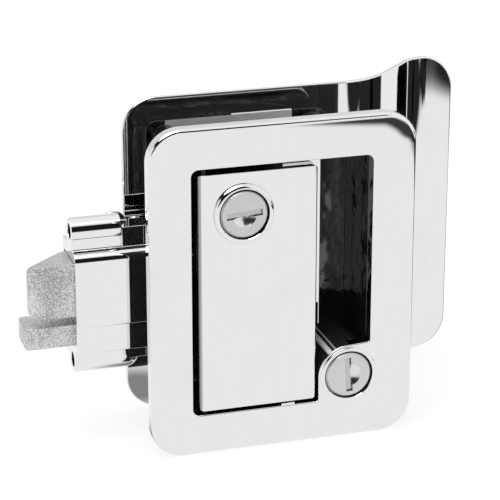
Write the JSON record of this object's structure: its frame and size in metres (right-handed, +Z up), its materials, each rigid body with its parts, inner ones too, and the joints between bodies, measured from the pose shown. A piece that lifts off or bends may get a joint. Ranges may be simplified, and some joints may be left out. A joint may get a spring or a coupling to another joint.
{
  "type": "travel trailer door lock",
  "caption": "Chrome entry door lock with a pull handle, key cylinders, slam latch, deadbolt, inside lever, thumb turn and a flared inside pull plate.",
  "frame": {"origin": "middle of the bezel's back face, on the door's outer skin, at the middle of the door cut-out", "axes": "+X right seen from outside the door, +Y into the door, +Z up"},
  "size_m": [0.173, 0.0708, 0.117],
  "materials": {
    "chrome": "bright chrome plate on die-cast zinc",
    "plug_satin": "satin nickel",
    "cast_zinc": "tumbled cast zinc",
    "plated_steel": "zinc-plated steel",
    "spring_steel": "drawn spring wire",
    "black_housing": "gloss black",
    "gasket_rubber": "closed-cell foam rubber"
  },
  "bodies": {
    "lock_frame": {"exterior_bezel": "chrome", "bezel_gasket": "gasket_rubber", "pocket_housing": "black_housing", "hinge_pin": "plated_steel", "handle_spring": "spring_steel", "deadbolt_lock_sleeve": "chrome", "deadbolt_lock_nut": "plated_steel", "latch_case": "chrome", "latch_case_cover": "chrome", "case_cover_screws": "plated_steel", "case_screws": "plated_steel", "latch_spring": "spring_steel", "interior_plate": "chrome", "plate_screws": "plated_steel", "lever_bush": "plated_steel", "thumb_bush": "plated_steel"},
    "handle": {"paddle_handle": "chrome", "handle_lock_sleeve": "chrome", "handle_lock_nut": "plated_steel"},
    "handle_lock": {"handle_lock_plug": "plug_satin", "handle_lock_shutter": "plug_satin", "handle_lock_cam": "plated_steel", "handle_cam_screw": "plated_steel"},
    "latch": {"latch_bolt": "cast_zinc", "latch_slide": "plated_steel", "latch_rivets": "plated_steel"},
    "lever": {"inside_lever": "chrome", "lever_spindle": "plated_steel", "lever_cam": "plated_steel", "lever_clip": "spring_steel", "lever_screw": "plated_steel"},
    "deadbolt_turner": {"deadbolt_lock_plug": "plug_satin", "deadbolt_lock_shutter": "plug_satin", "deadbolt_tailpiece": "plated_steel", "deadbolt_crank": "plated_steel", "thumb_turn": "chrome"},
    "deadbolt_bar": {"deadbolt": "cast_zinc", "deadbolt_slide": "plated_steel", "deadbolt_rivets": "plated_steel"}
  },
  "joints": [
    {"name": "handle_pull", "type": "hinge", "parent": "lock_frame", "child": "handle", "pos_m": [-0.0276, -0.002, 0], "axis": [0, 0, -1], "range_deg": [0, 40], "stiffness_Nm_per_rad": 0.35, "springref_deg": -17.19, "deforming": ["handle_spring"]},
    {"name": "handle_lock_turn", "type": "hinge", "parent": "handle", "child": "handle_lock", "pos_m": [-0.0144, -0.0048, 0.0277], "axis": [0, -1, 0], "range_deg": [0, 90]},
    {"name": "latch_slide", "type": "slide", "parent": "lock_frame", "child": "latch", "axis": [1, 0, 0], "range_m": [0, 0.0146], "deforming": ["latch_spring"]},
    {"name": "lever_turn", "type": "hinge", "parent": "lock_frame", "child": "lever", "pos_m": [0.014, 0.038, 0.015], "axis": [0, -1, 0], "range_deg": [0, 53.93]},
    {"name": "deadbolt_turn", "type": "hinge", "parent": "lock_frame", "child": "deadbolt_turner", "pos_m": [0.0237, 0, -0.0353], "axis": [0, 1, 0], "range_deg": [0, 90]},
    {"name": "deadbolt_slide", "type": "slide", "parent": "lock_frame", "child": "deadbolt_bar", "axis": [1, 0, 0], "range_m": [0, 0.01697]}
  ],
  "couplings": [
    {"joint": "latch_slide", "follows": "handle_pull", "m_per_rad": 0.020916},
    {"joint": "lever_turn", "follows": "handle_pull", "ratio": 1.3484},
    {"joint": "deadbolt_slide", "follows": "deadbolt_turn", "m_per_rad": 0.010804}
  ]
}
